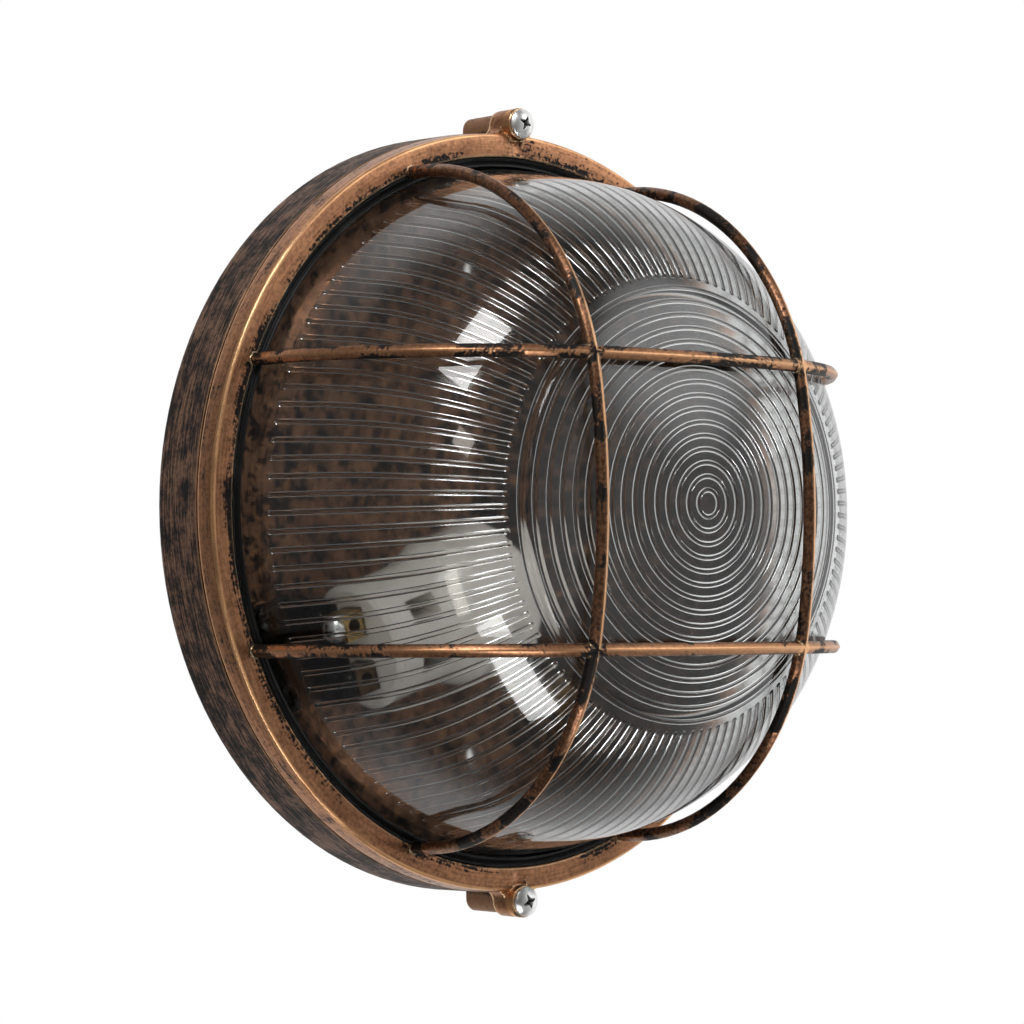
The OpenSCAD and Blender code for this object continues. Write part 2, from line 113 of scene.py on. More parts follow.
def startMaterial(name):
    material = bpy.data.materials.new(name)
    material.use_nodes = True
    tree = material.node_tree
    shader = tree.nodes["Principled BSDF"]
    place = Wire(tree, tree.nodes.new("ShaderNodeTexCoord").outputs["Object"])
    return material, shader, place


def link(shader, socket, value):
    if isinstance(value, Wire):
        value.tree.links.new(value.socket, shader.inputs[socket])
    else:
        shader.inputs[socket].default_value = value


def roundAxis(place):                   # direction round the lamp's axis, depth and radius, with no seam
    x, y, z = place.split()
    radius = (x * x + z * z) ** 0.5
    return x / radius, z / radius, y, radius


def brushed(place, along, across):      # noise drawn out round the axis: along and across are its sizes
    cosine, sine, y, radius = roundAxis(place)
    turn = 0.09 / along                 # at about the ring's radius
    vector = place.node("CombineXYZ", {0: cosine * turn, 1: sine * turn, 2: y * (1 / across)})
    return place.node("TexNoise", {"Vector": vector, "W": radius * (1 / across), "Scale": 1.0, "Detail": 4.0,
                                   "Roughness": 0.62}, noise_dimensions="4D")


def grain(place, size, detail=3.0, rough=0.55):
    return place.node("TexNoise", {"Vector": place, "Scale": 1 / size, "Detail": detail, "Roughness": rough})


def normal(place):
    return place.node("NewGeometry", out=1)


def softened(place, width):             # normal with the edges rounded
    return place.node("Bevel", {"Radius": width}, samples=4)


def edges(place, width):                # 1 on edges, 0 on faces
    return (1.0 - softened(place, width).dot(normal(place))).fade(0.01, 0.13)


def bump(height, strength, distance, width=None):
    inputs = {"Height": height, "Strength": strength, "Distance": distance}
    if width:
        inputs["Normal"] = softened(height, width)
    return height.node("Bump", inputs)


# Antique copper: a black coat with copper brushed over it

panCopper = {
    "copper": (0.245, 0.130, 0.080), "shade": (0.135, 0.074, 0.048), "worn": (0.62, 0.36, 0.20),
    "black": (0.010, 0.008, 0.0075), "thin": (0.06, 0.035, 0.025), "warm": (0.36, 0.180, 0.092),
    "metal": 0.4, "rough": 0.42, "along": 0.009, "across": 0.00045, "patch": 0.005,
    "streaks": 0.7, "patches": 0.33, "specks": 0.22, "low": 0.53, "high": 0.75, "edge": 0.0006,
}
guardCopper = {
    "copper": (0.60, 0.290, 0.148), "shade": (0.34, 0.158, 0.083), "worn": (1.0, 0.74, 0.46),
    # the dark brown colour is thin copper in patches, and painted shade on the bars' sides turned from the light; the
    # thick colour is a painted highlight
    "black": (0.008, 0.0065, 0.006), "thin": (0.10, 0.047, 0.028), "thick": (0.92, 0.48, 0.22),
    "metal": 0.8, "rough": 0.25, "along": 0.011, "across": 0.0005, "patch": 0.009,
    "streaks": 0.5, "patches": 0.4, "specks": 0.35, "low": 0.58, "high": 0.70, "edge": 0.0009,
}
zones = {                               # where masks fade: radii, depths, or widths across a bar
    "panBoss": (0.0917, 0.0925), "panInside": (0.0895, 0.0905), "panRear": (-0.0016, -0.0006),
    "ringInner": (0.0852, 0.0884), "ringLeft": (0.0866, 0.0888), "ringSide": (0.0898, 0.0902),
    "frontEdge": (0.0199, 0.0204), "rearEdge": (0.0159, 0.0164),
    "bars": (-0.0222, -0.0214), "barWide": (0.0018, 0.0022), "barFeet": (0.023, 0.030), "crossing": (0.001, 0.005),
}


def copperFinish(name, look, cover, tint):
    material, shader, place = startMaterial(name)
    streak = brushed(place, look["along"], look["across"])
    patch = grain(place, look["patch"], 2.0)
    fine = grain(place, 0.0009, 3.0, 0.6)
    coat = streak * look["streaks"] + patch * look["patches"] + fine * look["specks"]       # about 0.625
    # edges: real wear of the antique finish, and a painted highlight along them
    worn = edges(place, look["edge"])
    black = (coat + cover(place, patch)).fade(look["low"], look["high"]) * (1.0 - worn * 0.75)
    tone = (streak * 0.6 + fine * 0.4).fade(0.36, 0.64).blend(colour(look["copper"]), colour(look["shade"]))
    tone = worn.blend(tint(place, look, patch, fine, tone), colour(look["worn"]))
    link(shader, "Base Color", black.blend(tone, colour(look["black"])))
    link(shader, "Metallic", (look["metal"] + worn * 0.3) * (1.0 - black))
    link(shader, "Roughness", look["rough"] + black * 0.15 + fine * 0.12 - worn * 0.1)
    link(shader, "Specular IOR Level", 0.2)
    link(shader, "Normal", bump(streak * 0.5 + fine * 0.5 - black * 0.6, 0.3, 0.0002, 0.0004))
    return material


def panCover(place, patch):             # half black: less on the bosses, more on the back and the right of the inside
    cosine, sine, y, radius = roundAxis(place)
    boss = radius.fade(*zones["panBoss"])
    inside = 1.0 - radius.fade(*zones["panInside"])
    rear = y.fade(*zones["panRear"])
    mottle = (grain(place, 0.0031, 5.0, 0.62) - 0.5) * 1.3 - 0.045 + cosine.fade(0.1, 0.5) * 0.14
    return 0.03 - boss * 0.14 + inside * (1.0 - rear) * mottle + rear * 0.06


def panTint(place, look, patch, fine, tone):        # thin copper in patches, warm copper inside and on the bosses
    radius = roundAxis(place)[3]
    inside = 1.0 - radius.fade(*zones["panInside"])
    warm = grain(place, 0.0022, 4.0, 0.65).fade(0.45, 0.68) * inside
    tone = (patch.fade(0.45, 0.7) * 0.5).blend(tone, colour(look["thin"]))
    return (warm * 0.7).most(radius.fade(*zones["panBoss"]) * 0.8).blend(tone, colour(look["warm"]))


def barsLitAndShaded(place):                 # the bars, their sides turned from the light, which get painted shade, and those turned to it, which get a painted highlight
    x, y, z = place.split()
    facingX, facingY, facingZ = normal(place).split()
    bars = 1.0 - y.fade(*zones["bars"])
    upright = 1.0 - abs(abs(x) - barAt).fade(*zones["barWide"])
    # painted shade: the upright bars' left sides and the level bars' top and bottom faces
    shadedSides = upright * (1.0 - facingX.fade(-0.4, 0.15)) + (1.0 - upright) * abs(facingZ).fade(0.35, 0.8)
    # painted highlight on the level bars' other faces, stronger towards the right
    level = (1.0 - upright) * (1.0 - shadedSides) * (0.12 + x.fade(-0.06, 0.03) * 0.4)
    return bars, bars * shadedSides, bars * (upright * facingX.fade(-0.15, 0.35) + level)


def ringSide(place):                    # the ring's outer side, and its two edges, which carry painted highlight lines
    y, radius = roundAxis(place)[2:]
    side = radius.fade(*zones["ringSide"])
    depth = 0.0 - y
    return side, side * (depth.fade(*zones["frontEdge"]) + 1.0 - depth.fade(*zones["rearEdge"]))


def crossings(place):                   # 1 where two bars cross
    x, y, z = place.split()
    x, z = abs(x) - barAt, abs(z) - barAt
    return 1.0 - ((x * x + z * z) ** 0.5).fade(*zones["crossing"])


def guardCover(place, patch):           # ring mostly copper; black gathers at its inner edge and in patches on the bars, and is laid as painted shade on the bars' sides turned from the light
    cosine, sine, y, radius = roundAxis(place)
    bars, shadedSides, thick = barsLitAndShaded(place)
    side, rim = ringSide(place)
    inner = (1.0 - radius.fade(*zones["ringInner"])) * (1.0 - bars)
    spread = grain(place, 0.03, 1.0).fade(0.38, 0.56)
    dots = grain(place, 0.0008, 2.0, 0.5)
    corner = (cosine * 0.42 + sine * 0.91).fade(0.84, 0.96) * (1.0 - bars)      # more black beside the top lug
    left = (0.0 - cosine).fade(0.8, 0.97) * (1.0 - radius.fade(*zones["ringLeft"])) * (1.0 - bars)
    right = cosine.fade(0.72, 0.9) * (1.0 - bars)           # more black on the right of the ring
    ring = right * 0.17 + left * 0.12 + inner * (0.055 + spread * 0.10)
    ring = ring + (inner * spread * 1.1 + corner * 0.75) * (dots - 0.4)
    feet = (1.0 - (0.0 - y).fade(*zones["barFeet"])) * bars
    # painted shade: black on the bars' sides turned from the light, more near crossings
    black = shadedSides * (0.09 + patch.fade(0.42, 0.6) * 0.08 + crossings(place) * 0.12)
    black = black + bars * patch.fade(0.45, 0.62) * 0.1 + feet * 0.07
    # painted highlight: less black along the ring's two side edges
    return -0.15 + ring + side * 0.09 - rim * 0.16 + black


def guardTint(place, look, patch, fine, tone):      # painted highlight: bright copper on the ring's edges and the bars' sides turned to the light; painted shade: dark brown on the bars' sides turned away, with dark brown also as thin copper in patches and on the side of the ring
    bars, shadedSides, thick = barsLitAndShaded(place)
    side, rim = ringSide(place)
    # painted highlight along the ring's edges and on the bars' lit sides
    tone = thick.most(rim * (0.3 + patch.fade(0.35, 0.6) * 0.6)).blend(tone, colour(look["thick"]))
    ringThin = patch.fade(0.44, 0.66) * 0.3 + fine.fade(0.48, 0.6) * 0.15 + side * 0.12
    # painted shade on the bars' shaded sides, thin copper in patches on the ring
    thin = shadedSides * (0.55 + fine.fade(0.4, 0.6) * 0.35) + (1.0 - bars) * (1.0 - rim) * ringThin
    return thin.blend(tone, colour(look["thin"]))


# Rubber, porcelain, brass, steel and glass

blackRubber = {"base": (0.006, 0.006, 0.006), "dust": (0.022, 0.021, 0.020)}
whiteGlaze = {"base": (0.81, 0.745, 0.685), "shade": (0.64, 0.58, 0.525)}
bareBrass = {"base": (0.62, 0.43, 0.18), "dull": (0.30, 0.19, 0.08), "rough": 0.26, "metal": 1.0}
# darker brass: aged on some parts, painted shade on the neutral terminal
agedAndShadedBrass = {"base": (0.20, 0.125, 0.065), "dull": (0.10, 0.062, 0.034), "rough": 0.34, "metal": 1.0}
# painted shade: steel darkened for the lampholder's bracket, its screws and the neutral terminal's screw
shadedSteel = {"base": (0.045, 0.042, 0.040), "dull": (0.020, 0.019, 0.018), "rough": 0.4, "metal": 1.0}
zincPlate = {"base": (0.95, 0.95, 0.94), "dull": (0.74, 0.74, 0.73), "rough": 0.24, "metal": 0.88}
clearGlass = {"tint": (0.95, 0.965, 0.96), "index": 1.5, "outside": 0.0, "inside": 0.1}


def rubberFinish(name, look):
    material, shader, place = startMaterial(name)
    fine = grain(place, 0.0006, 3.0)
    link(shader, "Base Color", grain(place, 0.01).fade(0.5, 0.8).blend(colour(look["base"]), colour(look["dust"])))
    link(shader, "Roughness", 0.3 + fine * 0.2)
    link(shader, "Specular IOR Level", 0.25)
    link(shader, "Normal", bump(fine, 0.2, 0.0001))
    return material


def porcelainFinish(name, look):
    material, shader, place = startMaterial(name)
    cloud = grain(place, 0.012, 3.0)
    fleck = grain(place, 0.0015, 2.0).fade(0.68, 0.74)
    shade = cloud.fade(0.4, 0.7) * 0.6 + fleck * 0.4
    link(shader, "Base Color", shade.blend(colour(look["base"]), colour(look["shade"])))
    link(shader, "Roughness", 0.16 + cloud * 0.12)
    link(shader, "Coat Weight", 0.4)
    link(shader, "Coat Roughness", 0.08)
    link(shader, "Normal", bump(grain(place, 0.006), 0.12, 0.0006, 0.0006))
    return material


def metalFinish(name, look):
    material, shader, place = startMaterial(name)
    cloud = grain(place, 0.004, 4.0)
    fine = grain(place, 0.0005, 3.0)
    unoccluded = place.node("AmbientOcclusion", {"Distance": 0.0015}, out=1, samples=4).fade(0.25, 0.8)
    recessShade = tuple(0.06 * c for c in look["dull"])           # painted shade in the recesses, from ambient occlusion
    plain = cloud.fade(0.42, 0.72).blend(colour(look["base"]), colour(look["dull"]))
    link(shader, "Base Color", unoccluded.blend(colour(recessShade), plain))
    link(shader, "Metallic", look["metal"])
    link(shader, "Roughness", look["rough"] + cloud * 0.12 + fine * 0.06)
    link(shader, "Normal", bump(fine, 0.15, 0.0001, 0.00025))
    return material


def glassFinish(name, look, rough):     # the plunger leaves the inside a little matt
    material, shader, place = startMaterial(name)
    link(shader, "Base Color", colour(look["tint"]))
    link(shader, "Transmission Weight", 1.0)
    link(shader, "IOR", look["index"])
    link(shader, "Roughness", rough + grain(place, 0.007, 3.0).fade(0.55, 0.8) * 0.04)
    link(shader, "Normal", bump(grain(place, 0.015, 2.0), 0.05, 0.0008))
    return material


finishes = {
    "panCopper": copperFinish("panCopper", panCopper, panCover, panTint),
    "guardCopper": copperFinish("guardCopper", guardCopper, guardCover, guardTint),
    "rubber": rubberFinish("blackRubber", blackRubber),
    "porcelain": porcelainFinish("whiteGlaze", whiteGlaze),
    "glass": glassFinish("clearGlass", clearGlass, clearGlass["outside"]),
    "glassInside": glassFinish("clearGlassInside", clearGlass, clearGlass["inside"]),
    "brass": metalFinish("bareBrass", bareBrass),
    "agedAndShadedBrass": metalFinish("agedAndShadedBrass", agedAndShadedBrass),
    "zinc": metalFinish("zincPlate", zincPlate),
    "shadedSteel": metalFinish("shadedSteel", shadedSteel),
}
wornBy = {
    "panCopper": ["base_pan"], "guardCopper": ["guard"], "rubber": ["glass_gasket", "cable_grommet"],
    "porcelain": ["lampholder_body"], "glass": ["glass_dome"], "brass": ["line_terminal"],
    # painted shade: the neutral terminal gets darker brass than the line terminal, and its screw, the lampholder's
    # bracket and their screws get dark steel
    "agedAndShadedBrass": ["neutral_terminal", "screw_shell", "centre_contact", "earth_screw", "earth_washer"],
    "zinc": ["cover_screw_top", "cover_screw_bottom", "contact_screw", "shell_screw", "line_terminal_screw"],
    "shadedSteel": ["lampholder_bracket", "bracket_screw_upper", "bracket_screw_lower", "lampholder_screw_upper",
                  "lampholder_screw_lower", "neutral_terminal_screw"],
}


def wear(piece, finish):
    piece.data.materials.clear()
    piece.data.materials.append(finishes[finish])


for finish, names in wornBy.items():
    for name in names:
        wear(nodes[name], finish)
print("finishes:", len(finishes))


# Modelling helpers

def deselect():
    if bpy.context.object and bpy.context.object.mode != "OBJECT":
        bpy.ops.object.mode_set(mode="OBJECT")
    bpy.ops.object.select_all(action="DESELECT")


def pick(piece):
    deselect()
    piece.select_set(True)
    bpy.context.view_layer.objects.active = piece


def named(piece, name):
    piece.name = name
    piece.data.name = name
    return piece


def joinPieces(name, pieces):
    deselect()
    for piece in pieces:
        piece.select_set(True)
    bpy.context.view_layer.objects.active = pieces[0]
    bpy.ops.object.join()
    return named(pieces[0], name)


def copyOf(piece, degrees, rise=0.0):   # has its own mesh, turned round the lamp's axis and then raised
    other = piece.copy()
    other.data = piece.data.copy()
    bpy.context.scene.collection.objects.link(other)
    other.rotation_euler = (0, math.radians(degrees), 0)
    other.location = (0, 0, rise)
    pick(other)
    bpy.ops.object.transform_apply(location=True, rotation=True, scale=False)
    return other


def gridSheet(points):                  # a grid laid through points[row][column]
    rows, columns = points.shape[:2]
    deselect()
    bpy.ops.mesh.primitive_grid_add(x_subdivisions=columns - 1, y_subdivisions=rows - 1, size=2)
    sheet = bpy.context.object
    flat = np.empty(len(sheet.data.vertices) * 3)
    sheet.data.vertices.foreach_get("co", flat)
    flat = flat.reshape(-1, 3)
    column = np.rint((flat[:, 0] + 1) / 2 * (columns - 1)).astype(int)
    row = np.rint((flat[:, 1] + 1) / 2 * (rows - 1)).astype(int)
    sheet.data.vertices.foreach_set("co", points[row, column].ravel())
    sheet.data.update()
    return sheet


def spunSheet(rows):                    # a grid wrapped round the lamp's axis: rows of (angles, radius, depth)
    rows = [np.broadcast_arrays(*[np.asarray(v, float) for v in row]) for row in rows]
    return gridSheet(np.array([np.stack([r * np.cos(a), -depth, r * np.sin(a)], axis=1) for a, r, depth in rows]))


def rounded(corners, steps=4):          # closed outline of (x, y, reach): each corner is rounded as far as its reach
    points = [np.array(corner[:2], float) for corner in corners]
    outline = []
    for k, point in enumerate(points):
        reach = corners[k][2]
        before, after = points[k - 1] - point, points[(k + 1) % len(points)] - point
        start, end = (point + side / np.linalg.norm(side) * reach for side in (before, after))
        outline += [(1 - t) ** 2 * start + 2 * t * (1 - t) * point + t * t * end for t in np.linspace(0, 1, steps + 1)]
    return np.array(outline + outline[:1])


def editAll(piece, step, **settings):   # one step in edit mode on the whole mesh
    pick(piece)
    bpy.ops.object.mode_set(mode="EDIT")
    bpy.ops.mesh.select_all(action="SELECT")
    step(**settings)
    bpy.ops.object.mode_set(mode="OBJECT")


def mergeDoubles(piece, distance=2e-6):
    editAll(piece, bpy.ops.mesh.remove_doubles, threshold=distance)


def turnOutwards(piece):
    editAll(piece, bpy.ops.mesh.normals_make_consistent, inside=False)


def closeSheet(sheet, ends=False):      # welds a wrapped grid into a solid, and fills its ends if they are open
    mergeDoubles(sheet)
    if ends:
        editAll(sheet, bpy.ops.mesh.fill_holes, sides=0)
    turnOutwards(sheet)
    return sheet


def openEdges(piece):
    mesh = piece.data
    corners = np.empty(len(mesh.loops), int)
    mesh.loops.foreach_get("edge_index", corners)
    return np.bincount(corners, minlength=len(mesh.edges)) == 1


def bridgeLoops(piece, low, high):      # joins the two open loops between these depths
    pick(piece)
    bpy.ops.object.mode_set(mode="EDIT")
    bpy.ops.mesh.select_mode(type="EDGE")
    bpy.ops.mesh.select_all(action="DESELECT")
    bpy.ops.object.mode_set(mode="OBJECT")
    mesh = piece.data
    places = np.empty(len(mesh.vertices) * 3)
    mesh.vertices.foreach_get("co", places)
    depth = -places.reshape(-1, 3)[:, 1]
    ends = np.empty(len(mesh.edges) * 2, int)
    mesh.edges.foreach_get("vertices", ends)
    ends = ends.reshape(-1, 2)
    chosen = openEdges(piece) & np.all((depth[ends] > low) & (depth[ends] < high), axis=1)
    picked = np.zeros(len(mesh.vertices), bool)
    picked[ends[chosen]] = True
    mesh.vertices.foreach_set("select", picked)
    mesh.edges.foreach_set("select", chosen)
    bpy.ops.object.mode_set(mode="EDIT")
    bpy.ops.mesh.bridge_edge_loops()
    bpy.ops.object.mode_set(mode="OBJECT")


def combine(piece, other, operation):
    pick(piece)
    step = piece.modifiers.new("combine", "BOOLEAN")
    step.operation, step.solver, step.object = operation, "EXACT", other
    bpy.ops.object.modifier_apply(modifier="combine")
    bpy.data.objects.remove(other)


def shift(piece, by):
    pick(piece)
    piece.location = by
    bpy.ops.object.transform_apply(location=True, rotation=False, scale=False)


def smooth(piece, degrees):
    pick(piece)
    bpy.ops.object.shade_smooth_by_angle(angle=math.radians(degrees))


def install(piece, finish, body, node):
    if finish:
        wear(piece, finish)
    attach(piece, body)
    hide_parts(node)


# Pressed glass: smooth outside, ribs and rings inside

pressedGlass = {                        # the curves are powers that shape a bead's section
    "rimRadius": 0.0824, "height": 0.0664, "wallHeight": 0.022, "draft": math.radians(11.6), "capRadius": 0.167,
    "thick": 0.003, "flangeOut": 0.0038, "flangeTop": -0.0034, "flangeLow": -0.0069, "corner": 0.0003, "root": 0.0004,
    "ribs": 120, "ribWide": 0.0013, "ribHigh": 0.00045, "ribFoot": 0.0057, "ribHead": 0.0518, "ribCurve": (3.4, 0.8),
    "rings": 16, "ringPitch": 0.00305, "ringWide": 0.0013, "ringHigh": 0.0005, "ringCurve": (3, 0.95), "turns": 220,
}
beadSteps = np.array(                   # across a bead, closest at its steep sides
    [-1.0, -0.96, -0.87, -0.7, -0.4, 0.4, 0.7, 0.87, 0.96, 1.0])


def makeGlass(look):
    thick, draft, capRadius = look["thick"], look["draft"], look["capRadius"]
    wallTop = np.array([look["rimRadius"] - look["wallHeight"] * math.tan(draft), look["wallHeight"]])
    wallOut = np.array([math.cos(draft), math.sin(draft)])
    capMiddle = np.array([0.0, look["height"] - capRadius])
    reach = wallTop - capMiddle
    shoulder = (capRadius ** 2 - reach @ reach) / (2 * (capRadius - reach @ wallOut))     # meets wall and cap smoothly
    middle = wallTop - shoulder * wallOut
    joinAngle = math.pi / 2 - math.atan2(middle[0], middle[1] - capMiddle[1])

    def wall(under, z):
        return np.array([look["rimRadius"] - z * math.tan(draft) - under / math.cos(draft), z])

    def onShoulder(under, angle):
        return middle + (shoulder - under) * np.array([math.cos(angle), math.sin(angle)])

    def onTop(under, radius):           # cap, or shoulder further out
        if radius < middle[0] * (capRadius - under) / (capRadius - shoulder):
            return np.array([radius, capMiddle[1] + math.sqrt((capRadius - under) ** 2 - radius ** 2)])
        return np.array([radius, middle[1] + math.sqrt((shoulder - under) ** 2 - (radius - middle[0]) ** 2)])

    turns = np.linspace(0, 2 * math.pi, look["turns"] + 1)
    rim, low, high = look["rimRadius"] + look["flangeOut"], look["flangeLow"], look["flangeTop"]
    corner, root = look["corner"], look["root"]
    outside = [wall(thick, low), (rim - corner, low), (rim, low + corner), (rim, high - corner), (rim - corner, high),
               wall(0, high) + np.array([root, 0.0]), wall(0, high + root)]
    outside += [wall(0, z) for z in np.linspace(0, look["wallHeight"], 5)[:-1]]
    outside += [onShoulder(0, a) for a in np.linspace(draft, joinAngle, 20)]
    outside += [onTop(0, r) for r in np.linspace(onShoulder(0, joinAngle)[0], 0.0, 11)[1:]]
    skin = spunSheet([(turns, r, z + wallToFace) for r, z in outside])

    # ribbed wall: beads with steep sides that rise from a round foot and end in a round head
    half = look["ribWide"] / 2
    step = 2 * math.pi / look["ribs"]
    headAngle = math.acos((look["ribHead"] - middle[0]) / (shoulder - thick))
    stations = [(wall(thick, z), wallOut, look["ribFoot"] - z) for z in
                [low + 0.0001, -0.003, 0.001, 0.0042] +
                [look["ribFoot"] + d for d in (-0.0007, -0.00055, -0.0003, 0.0, 0.0005)] + [0.0095, 0.0135, 0.018]]
    bends = list(np.linspace(draft, headAngle, 11)[:-1]) + [headAngle + d / (shoulder - thick) for d in
                                                          (-0.0005, 0.0, 0.0003, 0.00055, 0.0007, 0.0011)]
    stations += [(onShoulder(thick, a), np.array([math.cos(a), math.sin(a)]), (a - headAngle) * (shoulder - thick))
                 for a in bends]
    flat, steep = look["ribCurve"]
    between = 9.0                       # marks the plain glass halfway between two ribs
    ribbed = []
    for base, out, past in stations:
        angles = np.concatenate([np.concatenate([[step * k], step * (k + 0.5) + beadSteps * half / base[0]])
                                 for k in range(look["ribs"])] + [[2 * math.pi]])
        side = np.append(np.tile(np.concatenate([[between], np.abs(beadSteps)]), look["ribs"]), between)
        bead = look["ribHigh"] * np.clip(1 - side ** flat - (max(past, 0.0) / half) ** 2, 0, 1) ** steep
        ribbed.append((angles, base[0] - bead * out[0], base[1] - bead * out[1] + wallToFace))
    ribbed = spunSheet(ribbed)

    ringed = []
    flat, steep = look["ringCurve"]
    for k in range(look["rings"], 0, -1):
        for s in -beadSteps:
            bead = look["ringHigh"] * (1 - abs(s) ** flat) ** steep
            r, z = onTop(thick + bead, k * look["ringPitch"] + s * look["ringWide"] / 2)
            ringed.append((turns, r, z + wallToFace))
    ringed.append((turns, 0.0, onTop(thick, 0.0)[1] + wallToFace))
    ringed = spunSheet(ringed)

    for sheet, finish in ((skin, "glass"), (ribbed, "glassInside"), (ringed, "glassInside")):
        mergeDoubles(sheet)
        wear(sheet, finish)
    glass = joinPieces("pressedGlass", [skin, ribbed, ringed])
    bridgeLoops(glass, wallToFace - 0.01, wallToFace)               # foot of the flange
    bridgeLoops(glass, wallToFace + 0.03, wallToFace + 0.07)        # between ribs and rings
    turnOutwards(glass)
    smooth(glass, 50)
    print("glass:", len(glass.data.polygons), "faces,", openEdges(glass).sum(), "open edges")
    return glass


install(makeGlass(pressedGlass), None, "cover", "glass_dome")


# Guard: a ring, four crossing bars and two screw lugs in one casting

castGuard = {                           # lengths in mm, crownHalf in degrees
    "turns": 180,
    "ring": [(85.2, 18.4, 0.2), (88.5, 18.4, 0.2), (88.5, 15.6, 0.2), (91.3, 15.6, 0.7), (90.7, 21.0, 0.6),
             (85.2, 21.0, 0.4)],
    "bar": [(1.65, 0, 0.45), (0.66, 1.5, 0.5), (-0.66, 1.5, 0.5), (-1.65, 0, 0.5), (-0.66, -1.5, 0.5),
            (0.66, -1.5, 0.5)],
    "barDeep": 3.3, "foot": 80.43, "sunk": -1.3, "leg": 3.0, "bend": 62.3, "crown": 180.4, "crownHalf": 8.83,
    "bore": 85.9, "boreTop": 0.2, "ridgeGap": 0.02,
    "lugAt": 93.2, "lugRadius": 3.88, "lugLow": 15.63, "lugTop": 22.9, "hole": 2.05, "cutFrom": 10, "cutTo": 30,
    "webTop": 20.1, "webRoot": 90.3, "webHalf": (7.6, 4.4, 3.85), "webTaper": 0.95,
    "veeDeep": 23.3, "veeAt": 87.05, "veeSmall": 2.1, "veeLarge": 3.3, "veeLong": 4.8,
}


def makeRing(look):
    turns = np.linspace(0, 2 * math.pi, look["turns"] + 1)
    return closeSheet(spunSheet([(turns, r / 1000, z / 1000) for r, z in rounded(look["ring"])]))


def makeBar(look):                      # along x, with its ridge to the front
    bend = np.radians(np.linspace(0, 90 - look["crownHalf"], 26))
    crown = np.radians(np.linspace(90 - look["crownHalf"], 90, 6)[1:])
    bendAt = look["foot"] - look["bend"]
    half = [(look["foot"], z, 0.0) for z in (look["sunk"], look["leg"] / 2)]
    half += [(bendAt + look["bend"] * math.cos(a), look["leg"] + look["bend"] * math.sin(a), a) for a in bend]
    crownDrop = look["crown"] * math.sin(bend[-1]) - half[-1][1]
    half += [(look["crown"] * math.cos(a), look["crown"] * math.sin(a) - crownDrop, a) for a in crown]
    path = half + [(-x, z, math.pi - a) for x, z, a in half[-2::-1]]
    section = [(u - look["barDeep"] / 2, v) for u, v in rounded(look["bar"])]
    points = [[(x + u * math.cos(a), -(z + u * math.sin(a) + wallToFace * 1000), v) for u, v in section]
              for x, z, a in path]
    return closeSheet(gridSheet(np.array(points) / 1000), ends=True)


def makeLug(look):
    turns = np.linspace(0, 2 * math.pi, 49)
    r, low, top = look["lugRadius"], look["lugLow"], look["lugTop"]
    post = [(0, low), (r, low), (r, top - 0.5), (r - 0.15, top - 0.15), (r - 0.5, top), (0, top)]
    lug = closeSheet(spunSheet([(turns, a / 1000, z / 1000) for a, z in post]))
    shift(lug, (0, 0, look["lugAt"] / 1000))
    t = np.linspace(0, 1, 8)            # web: hollow sides between the ring and the post
    wide, waist, narrow = look["webHalf"]
    side = np.array([
        (1 - t) ** 2 * wide + 2 * t * (1 - t) * waist + t * t * narrow,
        (1 - t) ** 2 * look["webRoot"] + 2 * t * (1 - t) * (look["webRoot"] + 0.5) + t * t * look["lugAt"]]).T
    base = np.array([(wide, look["webRoot"] - 1.0)])
    outline = np.concatenate([base, side, side[::-1] * (-1, 1), base * (-1, 1), base])
    rows = [(low - 0.015, 1.0), (look["webTop"] - 0.3, 1.0), (look["webTop"], look["webTaper"])]
    web = np.array([[(x * k, -z, y) for x, y in outline] for z, k in rows]) / 1000
    combine(lug, closeSheet(gridSheet(web), ends=True), "UNION")
    return lug


def plug(radius, low, high, at=0.0):    # solid used to cut a round hole
    turns = np.linspace(0, 2 * math.pi, 181)
    outline = [(0, low), (radius, low), (radius, high), (0, high)]
    cutter = closeSheet(spunSheet([(turns, r / 1000, z / 1000) for r, z in outline]))
    shift(cutter, (0, 0, at / 1000))
    return cutter


def makeVee(look, side):                # shallow vee in the face below a lug
    deselect()
    bpy.ops.mesh.primitive_cone_add(
        vertices=48, end_fill_type="TRIFAN", radius1=look["veeSmall"] / 1000, radius2=look["veeLarge"] / 1000,
        depth=look["veeLong"] / 1000, location=(0, -look["veeDeep"] / 1000, side * look["veeAt"] / 1000),
        rotation=(0 if side > 0 else math.pi, 0, 0))
    bpy.ops.object.transform_apply(location=True, rotation=True, scale=False)
    return bpy.context.object


def makeGuard(look):
    guard = makeRing(look)
    lug = makeLug(look)
    for degrees, side in ((0, 1), (180, -1)):
        combine(guard, copyOf(lug, degrees), "UNION")
        combine(guard, plug(look["hole"], look["cutFrom"], look["cutTo"], look["lugAt"] * side), "DIFFERENCE")
    bpy.data.objects.remove(lug)
    mergeDoubles(guard, 1e-7)
    editAll(guard, bpy.ops.mesh.quads_convert_to_tris)
    for side in (1, -1):
        combine(guard, makeVee(look, side), "DIFFERENCE")
    bars = makeBar(look)
    shift(bars, (0, 0, barAt))
    first = copyOf(bars, 0)
    for degrees in (90, 180, 270):
        other = copyOf(first, degrees)
        crossing = degrees != 180
        shift(other, (0, look["ridgeGap"] / 1000 * crossing, 0))    # ridges that just miss keep the union clean
        combine(bars, other, "UNION")
    bpy.data.objects.remove(first)
    combine(bars, plug(look["bore"], look["cutFrom"], wallToFace * 1000 + look["boreTop"]), "DIFFERENCE")
    combine(guard, bars, "UNION")
    smooth(guard, 40)
    print("guard:", len(guard.data.polygons), "faces,", openEdges(guard).sum(), "open edges")
    return named(guard, "castGuard")


install(makeGuard(castGuard), "guardCopper", "cover", "guard")


